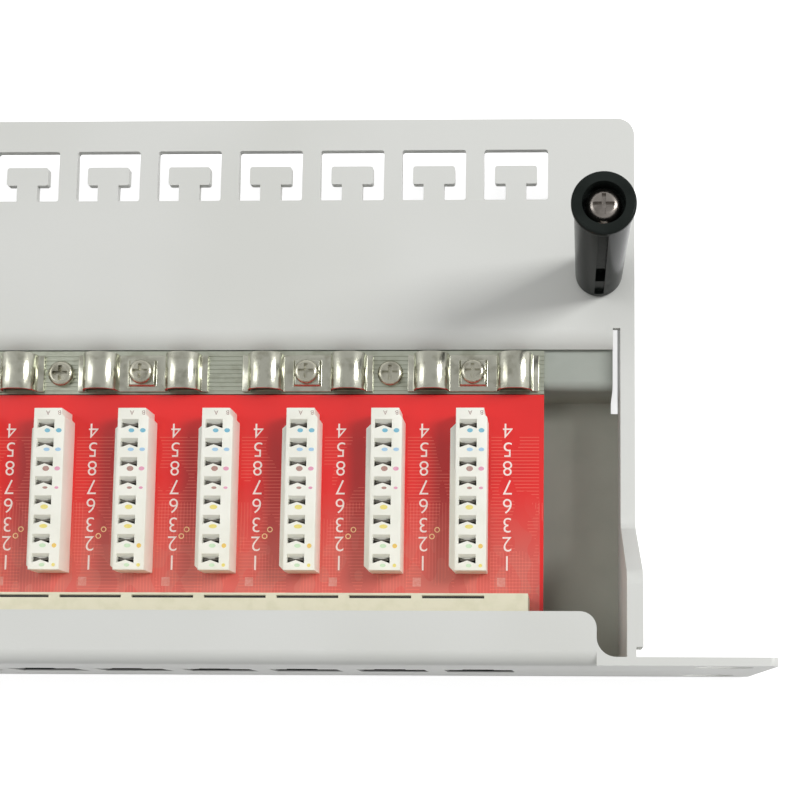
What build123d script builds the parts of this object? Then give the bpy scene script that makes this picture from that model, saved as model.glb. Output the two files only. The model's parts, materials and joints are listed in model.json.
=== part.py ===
from build123d import *
import math
import os

# A 19-inch rack patch panel, one rack unit high, with 24 shielded ports.
# The front face looks towards -Y, the cable support plate is at +Y, and the panel stands on Z = 0.
# Lengths are in millimetres. Y is measured from the front face until the pieces are moved to their origin.

# Rack front and folded sheet
rack_width = 482.6
rack_height = 44.0
sheet = 1.5
ear_corner_radius = 1.5
rack_slot_inset = 8.75
rack_slot_pitch_z = 31.75
rack_slot_length = 10.3
rack_slot_width = 6.8
ear_width = 23.1
side_wall = 2.8
side_outer_layer = 1.2
hem_height = 8.0
side_front_gap = 3.2
side_rear_inset = 5.5
ramp_front = 16.0
ramp_rear = 28.0

# Top flange over the ports
flange_inset = 8.0
flange_depth = 9.3
flange_corner_radius = 2.9
flange_root_radius = 3.4
flange_bend_radius = 2.6

# Rear cable support plate
panel_depth = 109.5
plate_top = 16.0
plate_corner_radius = 3.4
plate_depth = 42.5
lip_radius = 5.0
lip_angle = 49.5
tie_slot_width = 12.6
tie_slot_length = 10.2
tie_slot_radius = 0.5
tie_slot_inset = 11.4
tie_head_width = 8.3
tie_head_length = 3.66
tie_stem_width = 4.1
tie_stem_length = 3.26

# Relief slit between the plate, the base tray and the side walls, measured from the start of the lip
slit_width = 1.4
slit_front_reach = 13.8
slit_rear_reach = 1.6

# Base tray: floor, riser and the land that carries the earthing rail
tray_sheet = 1.5
riser_reach = 11.6
land_lap = 3.0
tray_bend_radius = 2.0

# Ports and boards
port_count = 24
ports_per_board = 8
port_pitch = 16.2
port_offset = 2.6
port_width = 11.8
port_sill = 2.0
plug_height = 8.0
latch_width = 5.0
latch_height = 1.9
nose_wall = 0.35
nose_clearance = 0.05
nose_front = 0.2
board_thickness = 1.6
board_top = 15.0
board_front = 1.9
board_rear_reach = 13.0
board_end_margin = 14.3
board_gap = 0.6

# Spacers under the boards
spacer_radius = 2.75
spacer_front = 8.0
spacer_rear_inset = 3.2
spacer_inset = 5.0

# Shielded jack rows
shell_wall = 0.5
shell_rear = 13.9
shell_height = 13.0
shell_end_margin = 11.7
shell_slot_length = 11.4
shell_slot_width = 0.55
shell_slot_pitch = 13.38
shell_slot_inset = 0.45
shell_slot_offset = 2.9
cavity_rear_wall = 0.7
contact_count = 8
contact_pitch = 1.02
contact_width = 0.4
contact_thickness = 0.3
contact_length = 9.0
contact_slope = 14.0
contact_root_rise = 0.7

# Insulation-displacement blocks
block_length = 31.2
block_width = 7.2
block_height = 6.0
block_front = 18.9
block_ledge_width = 1.25
block_ledge_height = 3.4
block_head_length = 2.4
block_corner = 1.1
idc_count = 8
idc_pitch = 3.7
idc_front = 20.96
idc_offset = 0.6
idc_half_length = 1.65
idc_end_half_width = 0.85
idc_waist_half_width = 0.35
idc_depth = 4.4
blade_length = 2.7
blade_thickness = 0.35
blade_recess = 0.5

# Earthing rail and shield clamps
rail_front_reach = 12.7
rail_rear_reach = 4.1
rail_thickness = 1.2
rail_rib_height = 0.2
rail_rib_count = 9
rail_rib_width = 0.4
rail_rib_pitch = 0.86
rail_end_margin = 14.3
saddle_offset = 8.6
saddle_width = 7.0
saddle_height = 4.0
saddle_radius = 3.45
saddle_front_reach = 12.4
saddle_length = 7.3
clamp_strip = 0.6
clamp_foot = 1.2
clamp_boss_side = 5.6
clamp_boss_height = 0.8
clamp_screw_head_radius = 2.4
clamp_screw_head_height = 1.5
clamp_screw_radius = 1.25
rail_screw_head_radius = 2.5
rail_screw_head_height = 1.4
screw_clearance = 0.05
screw_tail = 1.0
cross_recess_width = 0.7
cross_recess_depth = 0.8
cross_recess_share = 0.6
head_round_share = 0.6
cut_margin = 1.0

# Cover posts
post_height = 39.0
post_cap_radius = 5.6
post_cap_height = 1.6
post_cap_edge = 0.5
post_neck_radius = 5.1
post_base_radius = 4.55
post_foot_edge = 0.9
post_side_inset = 7.0
post_rear_inset = 31.8
post_bore_radius = 3.75
post_bore_depth = 3.4
post_groove_width = 1.8
post_groove_depth = 1.3
post_groove_top = 1.6
post_window_low = 8.0
post_window_high = 13.7
post_window_depth = 2.5
post_heel_low = 2.2
post_screw_head_radius = 3.1
post_screw_head_height = 2.7
post_screw_radius = 1.5

# Sizes that follow from the ones above
half_rack = rack_width / 2
rack_slot_pitch_x = rack_width - 2 * rack_slot_inset
body_width = rack_width - 2 * ear_width
flange_width = body_width - 2 * flange_inset
lip_start = panel_depth - plate_depth
tie_slot_centre = panel_depth - tie_slot_inset
post_y = panel_depth - post_rear_inset
slit_front = lip_start - slit_front_reach
slit_rear = lip_start - slit_rear_reach
riser_face = lip_start - riser_reach
land_rear = lip_start + land_lap
board_rear = lip_start - board_rear_reach
spacer_rear = board_rear - spacer_rear_inset
rail_front = lip_start - rail_front_reach
rail_rear = lip_start - rail_rear_reach
saddle_front = lip_start - saddle_front_reach
half_body = body_width / 2
wall_inner = half_body - side_wall
slit_inner = wall_inner - slit_width
plate_bottom = plate_top - sheet
lip_centre_z = plate_top - lip_radius
lip_low_z = lip_centre_z + (lip_radius - sheet) * math.cos(math.radians(lip_angle))
land_top = lip_low_z
board_bottom = board_top - board_thickness
cavity_low = board_top + port_sill
cavity_high = cavity_low + plug_height
shell_top = board_top + shell_height
shell_front = sheet
cavity_rear = shell_rear - shell_wall - cavity_rear_wall
rail_top = land_top + rail_thickness
rib_top = rail_top + rail_rib_height
line_x = [(i - (port_count - 1) / 2) * port_pitch for i in range(port_count)]
port_x = [x + port_offset for x in line_x]
saddle_x = [x + saddle_offset for x in line_x]
clamp_count = port_count // 2
clamp_x = [(saddle_x[2 * k] + saddle_x[2 * k + 1]) / 2 for k in range(clamp_count)]
rail_screw_x = [(saddle_x[4 * k + 1] + saddle_x[4 * k + 2]) / 2 for k in range(port_count // 4)]
saddle_middle = saddle_front + saddle_length / 2
idc_x = block_ledge_width / 2 - idc_offset
idc_y = [idc_front + k * idc_pitch for k in range(idc_count)]
block_top = board_top + block_height
half_boards = line_x[-1] + board_end_margin
half_rail = line_x[-1] + rail_end_margin
post_x = half_body - post_side_inset
board_count = port_count // ports_per_board
origin_shift = Pos(0, -panel_depth / 2, 0)


def block(x0, x1, y0, y1, z0, z1):
    """A box between two corners."""
    return Pos((x0 + x1) / 2, (y0 + y1) / 2, (z0 + z1) / 2) * Box(x1 - x0, y1 - y0, z1 - z0)


def upright(x, y, z0, z1, radius):
    """A vertical cylinder between two heights."""
    return Pos(x, y, (z0 + z1) / 2) * Cylinder(radius, z1 - z0)


def cross_recess(x, y, top, reach):
    """The cross-shaped recess in the top of a screw head."""
    low = top - cross_recess_depth
    half = cross_recess_width / 2
    return block(x - reach, x + reach, y - half, y + half, low, top) + block(
        x - half, x + half, y - reach, y + reach, low, top
    )


def pan_screw(x, y, seat, head_radius, head_height, shank_radius, shank_low):
    """A pan-head screw with its head on the seat and its shank below it."""
    head = upright(x, y, seat, seat + head_height, head_radius)
    head = fillet(head.edges().group_by(Axis.Z)[-1], head_height * head_round_share)
    shank = upright(x, y, shank_low, seat, shank_radius)
    return head + shank - cross_recess(x, y, seat + head_height, head_radius * cross_recess_share)


def port_solid(x, y0, y1, grow):
    """The outline of a port, a plug's width with a latch notch on top, grown all round and run along Y."""
    half = port_width / 2 + grow
    notch = latch_width / 2 + grow
    return block(x - half, x + half, y0, y1, cavity_low - grow, cavity_high + grow) + block(
        x - notch, x + notch, y0, y1, cavity_high, cavity_high + latch_height + grow
    )


def flange():
    """The folded top flange with rounded rear corners and hollow roots at the ears."""
    half = flange_width / 2
    low = rack_height - sheet
    sheet_part = block(-half, half, 0, flange_depth, low, rack_height)
    rear_corners = sheet_part.edges().filter_by(Axis.Z).group_by(Axis.Y)[-1]
    sheet_part = fillet(rear_corners, flange_corner_radius)
    reach = flange_root_radius
    for side in (-1, 1):
        inner, outer = sorted((side * half, side * (half + reach)))
        root = block(inner, outer, sheet, sheet + reach, low, rack_height)
        sheet_part += root - upright(side * (half + reach), sheet + reach, low, rack_height, reach)
    return sheet_part


def front_face():
    """The front plate with ears, port openings and rack slots."""
    plate = block(-half_rack, half_rack, 0, sheet, 0, rack_height)
    plate = fillet(plate.edges().filter_by(Axis.Y), ear_corner_radius)
    plate += flange()
    half = flange_width / 2
    bend_low = rack_height - flange_bend_radius
    along_x = Pos(0, flange_bend_radius, bend_low) * Rot(0, 90, 0)
    outer_bar = along_x * Cylinder(flange_bend_radius, flange_width)
    inner_bar = along_x * Cylinder(flange_bend_radius - sheet, flange_width)
    corner = block(-half, half, 0, flange_bend_radius, bend_low, rack_height)
    inside = block(-half, half, sheet, flange_bend_radius, bend_low, rack_height - sheet)
    plate = plate - (corner - outer_bar) + (inside & (outer_bar - inner_bar))
    for x in port_x:
        plate -= port_solid(x, -cut_margin, sheet + cut_margin, nose_wall + nose_clearance)
    for x in (-rack_slot_pitch_x / 2, rack_slot_pitch_x / 2):
        for z in (rack_height / 2 - rack_slot_pitch_z / 2, rack_height / 2 + rack_slot_pitch_z / 2):
            slot = Plane.XZ * SlotOverall(rack_slot_length, rack_slot_width)
            plate -= Pos(x, 0, z) * extrude(slot, amount=2 * sheet, both=True)
    return plate


def side_wall_solid(side):
    """One doubled side wall: low at the rear and ramped up to full height at the front."""
    rear = panel_depth - side_rear_inset
    outline = Polyline(
        (sheet, 0), (rear, 0), (rear, plate_top), (ramp_rear, plate_top),
        (ramp_front, rack_height), (sheet, rack_height), close=True,
    )
    wall = Pos(wall_inner, 0, 0) * extrude(Plane.YZ * make_face(outline), amount=side_wall)
    slopes = wall.edges().filter_by(Axis.X).filter_by(
        lambda e: abs(e.center().Y - ramp_rear) < 0.1 or abs(e.center().Y - ramp_front) < 0.1
    )
    wall = fillet(slopes, flange_root_radius)
    outer = half_body - side_outer_layer
    wall -= block(outer, half_body + cut_margin, 0, side_front_gap, -cut_margin, rack_height + cut_margin)
    below_hem = Polyline(
        (0, -cut_margin), (panel_depth, -cut_margin), (panel_depth, plate_top - hem_height),
        (ramp_rear, plate_top - hem_height), (ramp_front, rack_height - hem_height),
        (0, rack_height - hem_height), close=True,
    )
    wall -= Pos(outer, 0, 0) * extrude(Plane.YZ * make_face(below_hem), amount=side_wall)
    return wall if side > 0 else mirror(wall, Plane.YZ)


def tie_slot(x):
    """One U-shaped slot that leaves a T-shaped tongue for a cable tie."""
    front = tie_slot_centre - tie_slot_length / 2
    opening = Pos(x, tie_slot_centre, 0) * RectangleRounded(tie_slot_width, tie_slot_length, tie_slot_radius)
    stem = Pos(x, front + tie_stem_length / 2, 0) * Rectangle(tie_stem_width, tie_stem_length)
    head = Pos(x, front + tie_stem_length + tie_head_length / 2, 0) * RectangleRounded(
        tie_head_width, tie_head_length, tie_slot_radius
    )
    return opening - stem - head


def support_plate():
    """The rear cable support plate with its tie slots and its curled front lip."""
    outline = Pos(0, (lip_start + panel_depth) / 2, 0) * Rectangle(body_width, panel_depth - lip_start)
    outline = fillet(outline.vertices().group_by(Axis.Y)[-1], plate_corner_radius)
    for x in saddle_x:
        outline -= tie_slot(x)
    for side in (-1, 1):
        outline -= Pos(side * post_x, post_y, 0) * Circle(post_screw_radius + screw_clearance)
    plate = Pos(0, 0, plate_bottom) * extrude(outline, amount=sheet)
    outer_arc = CenterArc((lip_start, lip_centre_z), lip_radius, 90, lip_angle)
    inner_arc = CenterArc((lip_start, lip_centre_z), lip_radius - sheet, 90, lip_angle)
    profile = make_face(
        outer_arc + Line(outer_arc @ 1, inner_arc @ 1) + inner_arc + Line(inner_arc @ 0, outer_arc @ 0)
    )
    lip = Pos(-slit_inner, 0, 0) * extrude(Plane.YZ * profile, amount=2 * slit_inner)
    return plate + lip


def chassis():
    """The folded main sheet: front, ears, flange, side walls and rear plate."""
    body = front_face() + side_wall_solid(1) + side_wall_solid(-1) + support_plate()
    for side in (-1, 1):
        inner, outer = sorted((side * slit_inner, side * wall_inner))
        body -= block(inner, outer, slit_front, slit_rear, lip_low_z - 2 * sheet, plate_top + cut_margin)
    return body


def base_tray():
    """The folded inner sheet: floor, upright riser and the land behind the boards."""
    low = land_top - tray_sheet
    outline = Polyline(
        (sheet, 0), (riser_face + tray_sheet, 0), (riser_face + tray_sheet, low), (land_rear, low),
        (land_rear, land_top), (riser_face, land_top), (riser_face, tray_sheet), (sheet, tray_sheet),
        close=True,
    )
    profile = make_face(outline)
    outer_bends = [
        v for v in profile.vertices()
        if (abs(v.X - riser_face) < 0.01 and v.Y > low)
        or (abs(v.X - riser_face - tray_sheet) < 0.01 and v.Y < tray_sheet)
    ]
    profile = fillet(outer_bends, tray_bend_radius)
    tray = Pos(-wall_inner, 0, 0) * extrude(Plane.YZ * profile, amount=2 * wall_inner)
    for side in (-1, 1):
        inner, outer = sorted((side * slit_inner, side * (wall_inner + cut_margin)))
        tray -= block(inner, outer, slit_front, land_rear + cut_margin, -cut_margin, land_top + cut_margin)
    for x in clamp_x + rail_screw_x:
        tray -= upright(x, saddle_middle, low - cut_margin, land_top + cut_margin,
                        clamp_screw_radius + screw_clearance)
    return tray


def board_ends(index):
    """The left and right end of one circuit board."""
    first = port_x[index * ports_per_board]
    last = port_x[(index + 1) * ports_per_board - 1]
    left = -half_boards if index == 0 else first - (port_pitch - board_gap) / 2
    right = half_boards if index == board_count - 1 else last + (port_pitch - board_gap) / 2
    return left, right


def circuit_board(index):
    """One circuit board."""
    left, right = board_ends(index)
    return block(left, right, board_front, board_rear, board_bottom, board_top)


def board_spacers():
    """The spacers that carry the circuit boards above the floor."""
    spacers = []
    for index in range(board_count):
        left, right = board_ends(index)
        for x in (left + spacer_inset, right - spacer_inset):
            for y in (spacer_front, spacer_rear):
                spacers.append(upright(x, y, tray_sheet, board_bottom, spacer_radius))
    return spacers


def shell_ends(index):
    """The left and right end of one jack row."""
    left, right = board_ends(index)
    cut = board_end_margin - shell_end_margin
    left = left + cut if index == 0 else left
    right = right - cut if index == board_count - 1 else right
    return left, right


def row_ports(index):
    """The port centres of one jack row."""
    return port_x[index * ports_per_board:(index + 1) * ports_per_board]


def jack_shell(index):
    """The metal shield of one jack row, open below and at the ports."""
    left, right = shell_ends(index)
    shell = block(left, right, shell_front, shell_rear, board_top, shell_top)
    shell -= block(left + shell_wall, right - shell_wall, shell_front + shell_wall,
                   shell_rear - shell_wall, board_top - cut_margin, shell_top - shell_wall)
    for x in row_ports(index):
        shell -= port_solid(x, 0, shell_front + 2 * shell_wall, nose_wall + nose_clearance)
    slot_y = shell_rear - shell_wall - shell_slot_inset
    centre = half_boards - shell_slot_offset
    while centre - shell_slot_pitch > -half_boards:
        centre -= shell_slot_pitch
        if left + shell_slot_length / 2 < centre < right - shell_slot_length / 2:
            shell -= block(centre - shell_slot_length / 2, centre + shell_slot_length / 2,
                           slot_y, slot_y + shell_slot_width, shell_top - shell_wall, shell_top + cut_margin)
    return shell


def jack_insert(index):
    """The plastic body of one jack row, with a nose, a plug cavity and a latch notch at each port."""
    left, right = shell_ends(index)
    front = shell_front + shell_wall
    insert = block(left + shell_wall, right - shell_wall, front,
                   shell_rear - shell_wall, board_top, shell_top - shell_wall)
    for x in row_ports(index):
        insert += port_solid(x, nose_front, front, nose_wall)
        insert -= port_solid(x, -cut_margin, cavity_rear, 0)
    return insert


def jack_contacts():
    """The sprung contacts in every plug cavity."""
    rod = Box(contact_width, contact_length, contact_thickness)
    reach = contact_length / 2 * math.cos(math.radians(contact_slope))
    contacts = []
    for x in port_x:
        for k in range(contact_count):
            place = x + (k - (contact_count - 1) / 2) * contact_pitch
            height = cavity_low + contact_root_rise + reach * math.tan(math.radians(contact_slope))
            tilted = Pos(place, cavity_rear - reach + contact_thickness, height) * Rot(-contact_slope, 0, 0) * rod
            limit = block(place - contact_pitch, place + contact_pitch, 0, cavity_rear, cavity_low, cavity_high)
            contacts.append(tilted & limit)
    return contacts


def idc_pocket(x, y):
    """The bow-tie pocket that holds one blade."""
    a, b, c = idc_half_length, idc_end_half_width, idc_waist_half_width
    outline = Polyline((-a, -b), (0, -c), (a, -b), (a, b), (0, c), (-a, b), close=True)
    return Pos(x, y, block_top - idc_depth) * extrude(make_face(outline), amount=idc_depth + cut_margin)


def idc_block():
    """A punch-down block at X = 0, with eight pockets, a side ledge and a narrow rear head."""
    left, right = -block_width / 2, block_width / 2
    top_left = left + block_ledge_width
    rear = block_front + block_length
    shoulder = rear - block_head_length
    lower = Polyline(
        (left + block_corner, block_front), (right, block_front), (right, rear), (top_left, rear),
        (top_left, shoulder), (left, shoulder - block_ledge_width), (left, block_front + block_corner),
        close=True,
    )
    body = Pos(0, 0, board_top) * extrude(make_face(lower), amount=block_ledge_height)
    upper = block(top_left, right, block_front, rear, board_top + block_ledge_height, block_top)
    body += upper
    for y in idc_y:
        body -= idc_pocket(idc_x, y)
    return body


def idc_contacts():
    """The slotted blades that stand in the pockets of the punch-down blocks."""
    low = block_top - idc_depth
    half, thin = blade_length / 2, blade_thickness / 2
    return [
        block(x + idc_x - half, x + idc_x + half, y - thin, y + thin, low, block_top - blade_recess)
        for x in line_x
        for y in idc_y
    ]


def earthing_rail():
    """The ribbed rail that the cable shields are clamped to."""
    rail = block(-half_rail, half_rail, rail_front, rail_rear, land_top, rail_top)
    middle = (rail_front + rail_rear) / 2
    for k in range(rail_rib_count):
        y = middle + (k - (rail_rib_count - 1) / 2) * rail_rib_pitch
        rail += block(-half_rail, half_rail, y - rail_rib_width / 2, y + rail_rib_width / 2, rail_top, rib_top)
    for x in clamp_x + rail_screw_x:
        rail -= upright(x, saddle_middle, land_top - cut_margin, rib_top + cut_margin,
                        clamp_screw_radius + screw_clearance)
    return rail


def saddle_section(x):
    """The outer and inner outline of one saddle, above its feet."""
    tall = saddle_height * 2
    outer = Pos(x, 0, 0) * RectangleRounded(saddle_width, tall, saddle_radius)
    inner = Pos(x, 0, 0) * RectangleRounded(
        saddle_width - 2 * clamp_strip, tall - 2 * clamp_strip, saddle_radius - clamp_strip
    )
    return outer, inner


def shield_clamp():
    """A double saddle at X = 0, bent from strip, with its screw boss between the two arches."""
    outer_left, inner_left = saddle_section(-port_pitch / 2)
    outer_right, inner_right = saddle_section(port_pitch / 2)
    length = port_pitch + saddle_width + 2 * clamp_foot
    above = Pos(0, saddle_height / 2, 0) * Rectangle(length, saddle_height)
    foot = Pos(0, clamp_strip / 2, 0) * Rectangle(length, clamp_strip)
    section = ((outer_left + outer_right) & above) + foot - inner_left - inner_right
    clamp = Pos(0, saddle_front + saddle_length, rib_top) * extrude(Plane.XZ * section, amount=saddle_length)
    half = clamp_boss_side / 2
    foot_top = rib_top + clamp_strip
    clamp += block(-half, half, saddle_middle - half, saddle_middle + half, foot_top, foot_top + clamp_boss_height)
    hole_top = foot_top + clamp_boss_height + cut_margin
    return clamp - upright(0, saddle_middle, rib_top - cut_margin, hole_top, clamp_screw_radius + screw_clearance)


def clamp_screws():
    """The screws that hold the shield clamps on the rail."""
    seat = rib_top + clamp_strip + clamp_boss_height
    low = land_top - tray_sheet - screw_tail
    return [
        pan_screw(x, saddle_middle, seat, clamp_screw_head_radius, clamp_screw_head_height, clamp_screw_radius, low)
        for x in clamp_x
    ]


def rail_screws():
    """The screws that hold the rail on the land of the base tray."""
    low = land_top - tray_sheet - screw_tail
    return [
        pan_screw(x, saddle_middle, rib_top, rail_screw_head_radius, rail_screw_head_height, clamp_screw_radius, low)
        for x in rail_screw_x
    ]


def cover_post(side):
    """A tapered plastic post with a front groove, a window at its foot and a bore for its screw."""
    x = side * post_x
    top = plate_top + post_height
    neck = top - post_cap_height
    body_height = neck - plate_top
    body = Pos(x, post_y, plate_top + body_height / 2) * Cone(post_base_radius, post_neck_radius, body_height)
    body = fillet(body.edges().filter_by(GeomType.CIRCLE).group_by(Axis.Z)[0], post_foot_edge)
    cap = upright(x, post_y, neck, top, post_cap_radius)
    post = body + fillet(cap.edges().filter_by(GeomType.CIRCLE), post_cap_edge)
    post -= upright(x, post_y, top - post_bore_depth, top + cut_margin, post_bore_radius)
    post -= upright(x, post_y, plate_top - cut_margin, top, post_screw_radius + screw_clearance)
    half = post_groove_width / 2
    front = post_y - post_cap_radius - cut_margin
    face = post_y - post_base_radius
    post -= block(x - half, x + half, front, face + post_groove_depth,
                  plate_top + post_window_low, top - post_groove_top)
    post -= block(x - half, x + half, front, face + post_window_depth,
                  plate_top + post_window_low, plate_top + post_window_high)
    post -= block(x - half, x + half, front, face + post_groove_depth / 2,
                  plate_top + post_heel_low, plate_top + post_window_low)
    return post


def post_screws():
    """The screws that run down through the cover posts."""
    seat = plate_top + post_height - post_bore_depth
    low = plate_bottom - screw_tail
    return [
        pan_screw(side * post_x, post_y, seat, post_screw_head_radius, post_screw_head_height, post_screw_radius, low)
        for side in (-1, 1)
    ]


def save(name, *solids):
    """Move the solids of a piece to the panel's origin and write them as one STEP file."""
    moved = [origin_shift * solid for solid in solids]
    export_step(moved[0] if len(moved) == 1 else Compound(moved), f"parts/{name}.step")


os.makedirs("parts", exist_ok=True)
save("chassis", chassis())
save("base_tray", base_tray())
for i in range(board_count):
    save(f"circuit_board_{i + 1}", circuit_board(i))
    save(f"jack_shell_{i + 1}", jack_shell(i))
    save(f"jack_insert_{i + 1}", jack_insert(i))
save("board_spacers", *board_spacers())
save("jack_contacts", *jack_contacts())
punch_block = idc_block()
for i, centre_x in enumerate(line_x):
    save(f"idc_block_{i + 1:02d}", Pos(centre_x, 0, 0) * punch_block)
save("idc_contacts", *idc_contacts())
save("earthing_rail", earthing_rail())
double_saddle = shield_clamp()
for i, centre_x in enumerate(clamp_x):
    save(f"shield_clamp_{i + 1:02d}", Pos(centre_x, 0, 0) * double_saddle)
save("clamp_screws", *clamp_screws())
save("rail_screws", *rail_screws())
save("cover_post_left", cover_post(-1))
save("cover_post_right", cover_post(1))
save("post_screws", *post_screws())
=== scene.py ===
"""Look of a one-unit shielded patch panel with 24 ports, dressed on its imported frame.

The front face looks towards -Y, the cable plate is at +Y and +Z is up. Lengths are in metres.
"""
from __future__ import annotations

import json
import logging
import math
from collections.abc import Callable, Mapping, Sequence
from dataclasses import dataclass
from enum import Enum

import bpy
from mathutils import Matrix, Vector

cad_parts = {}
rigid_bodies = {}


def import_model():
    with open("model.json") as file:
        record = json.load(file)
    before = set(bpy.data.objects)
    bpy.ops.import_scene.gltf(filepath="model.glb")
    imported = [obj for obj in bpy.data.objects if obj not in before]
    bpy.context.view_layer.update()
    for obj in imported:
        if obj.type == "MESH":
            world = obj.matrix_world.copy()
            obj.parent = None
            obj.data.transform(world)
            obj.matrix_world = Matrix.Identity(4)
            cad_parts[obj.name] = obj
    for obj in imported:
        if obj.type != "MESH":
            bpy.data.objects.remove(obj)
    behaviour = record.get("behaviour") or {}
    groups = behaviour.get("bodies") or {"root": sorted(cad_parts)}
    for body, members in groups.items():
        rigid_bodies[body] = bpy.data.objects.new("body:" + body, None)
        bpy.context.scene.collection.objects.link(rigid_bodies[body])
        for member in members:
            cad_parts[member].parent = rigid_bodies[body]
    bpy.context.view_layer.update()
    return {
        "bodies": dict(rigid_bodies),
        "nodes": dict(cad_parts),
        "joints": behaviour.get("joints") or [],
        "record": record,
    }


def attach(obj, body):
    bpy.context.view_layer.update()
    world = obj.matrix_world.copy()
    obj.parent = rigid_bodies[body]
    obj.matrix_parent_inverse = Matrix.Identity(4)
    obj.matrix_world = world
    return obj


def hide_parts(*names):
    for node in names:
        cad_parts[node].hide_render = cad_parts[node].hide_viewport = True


LOG = logging.getLogger("patch_panel")
MM = 0.001
Colour = tuple[float, float, float, float]


def paint_colour(red: float, green: float, blue: float) -> Colour:
    """Turn a colour of 0 to 255 as a screen shows it into the linear colour of a shader."""
    def curve(level: float) -> float:
        """Undo the screen's curve for one channel."""
        part = level / 255
        return part / 12.92 if part <= 0.04045 else ((part + 0.055) / 1.055) ** 2.4

    return curve(red), curve(green), curve(blue), 1.0


class Signal:
    """A value carried by a socket, with the operators that add Math nodes."""

    def __init__(self, paint: Paint, socket: bpy.types.NodeSocket) -> None:
        """Wrap one output socket of the paint's nodes."""
        self.paint = paint
        self.socket = socket

    def _math(self, operation: str, *values: Signal | float) -> Signal:
        """Add one Math node.

        Args:
            operation: The node's operation.
            values: Its inputs in order.

        Returns:
            The node's result.
        """
        return self.paint.node("ShaderNodeMath", {"operation": operation}, values)

    def __add__(self, other: Signal | float) -> Signal:
        """Add."""
        return self._math("ADD", self, other)

    __radd__ = __add__

    def __sub__(self, other: Signal | float) -> Signal:
        """Subtract."""
        return self._math("SUBTRACT", self, other)

    def __rsub__(self, other: Signal | float) -> Signal:
        """Subtract from a number."""
        return self._math("SUBTRACT", other, self)

    def __mul__(self, other: Signal | float) -> Signal:
        """Multiply."""
        return self._math("MULTIPLY", self, other)

    __rmul__ = __mul__

    def __mod__(self, other: Signal | float) -> Signal:
        """Take the remainder that is never negative."""
        return self._math("FLOORED_MODULO", self, other)

    def __gt__(self, other: Signal | float) -> Signal:
        """Give 1 where this is greater."""
        return self._math("GREATER_THAN", self, other)

    def __lt__(self, other: Signal | float) -> Signal:
        """Give 1 where this is less."""
        return self._math("LESS_THAN", self, other)

    def between(self, low: float, high: float) -> Signal:
        """Give 1 inside a range and 0 outside it."""
        return (self > low) * (self < high)

    def ramp(self, low: float, high: float) -> Signal:
        """Rise smoothly from 0 at the low value to 1 at the high one."""
        settings = {"interpolation_type": "SMOOTHSTEP"}
        values = {"Value": self, "From Min": low, "From Max": high}
        return self.paint.node("ShaderNodeMapRange", settings, values)


class Paint:
    """A material under construction."""

    def __init__(self, name: str) -> None:
        """Start an empty material with that name."""
        self.material = bpy.data.materials.new(name)
        self.material.use_nodes = True
        self.tree = self.material.node_tree
        self.tree.nodes.clear()

    def node(
        self,
        kind: str,
        settings: Mapping[str, object] | None = None,
        values: Sequence[object] | Mapping[str, object] = (),
        output: int | str = 0,
    ) -> Signal:
        """Add any node.

        Args:
            kind: The node's type.
            settings: Its settings, which are set first.
            values: The values or links of its sockets, in order or by name.
            output: The output to return.

        Returns:
            The chosen output.
        """
        made = self.tree.nodes.new(kind)
        for name, value in (settings or {}).items():
            setattr(made, name, value)
        pairs = values.items() if isinstance(values, Mapping) else enumerate(values)
        for key, value in pairs:
            if isinstance(value, Signal):
                self.tree.links.new(value.socket, made.inputs[key])
            else:
                made.inputs[key].default_value = value
        return Signal(self, made.outputs[output])

    def place(self) -> Signal:
        """Read the point in the panel's own frame."""
        return self.node("ShaderNodeTexCoord", output="Object")

    def axes(self) -> tuple[Signal, Signal, Signal]:
        """Read the point's three coordinates."""
        split = self.node("ShaderNodeSeparateXYZ", values=[self.place()])
        outputs = split.socket.node.outputs
        return Signal(self, outputs[0]), Signal(self, outputs[1]), Signal(self, outputs[2])

    def noise(
        self, size: float, detail: float = 2.0, stretch: tuple[float, float, float] = (1, 1, 1)
    ) -> Signal:
        """Add a noise pattern.

        Args:
            size: The size of its grains.
            detail: How much finer noise is laid over it.
            stretch: How much closer the grains stand along each axis.

        Returns:
            The noise, from 0 to 1.
        """
        place = self.node("ShaderNodeMapping", values={"Vector": self.place(), "Scale": stretch})
        values = {"Vector": place, "Scale": 1 / size, "Detail": detail}
        return self.node("ShaderNodeTexNoise", values=values)

    def mix(self, share: Signal | float, first: Signal | Colour, second: Signal | Colour) -> Signal:
        """Mix two colours.

        Args:
            share: How much of the second colour shows.
            first: The first colour.
            second: The second colour.

        Returns:
            The mixed colour.
        """
        made = self.tree.nodes.new("ShaderNodeMix")
        made.data_type = "RGBA"
        for index, value in ((0, share), (6, first), (7, second)):
            if isinstance(value, Signal):
                self.tree.links.new(value.socket, made.inputs[index])
            else:
                made.inputs[index].default_value = value
        return Signal(self, made.outputs[2])

    def bump(self, height: Signal, distance: float, strength: float = 1.0) -> Signal:
        """Turn a height pattern into a normal."""
        return self.node(
            "ShaderNodeBump", values={"Height": height, "Distance": distance, "Strength": strength}
        )

    def finish(self, **sockets: Signal | Colour | float) -> bpy.types.Material:
        """Close the material with a Principled shader.

        Args:
            sockets: The shader's sockets by name, with underscores for spaces.

        Returns:
            The material.
        """
        values = {name.replace("_", " "): value for name, value in sockets.items()}
        shader = self.node("ShaderNodeBsdfPrincipled", values=values)
        self.node_output(shader)
        return self.material

    def node_output(self, shader: Signal) -> None:
        """Link a shader to the material's surface."""
        out = self.tree.nodes.new("ShaderNodeOutputMaterial")
        self.tree.links.new(shader.socket, out.inputs["Surface"])


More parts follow.
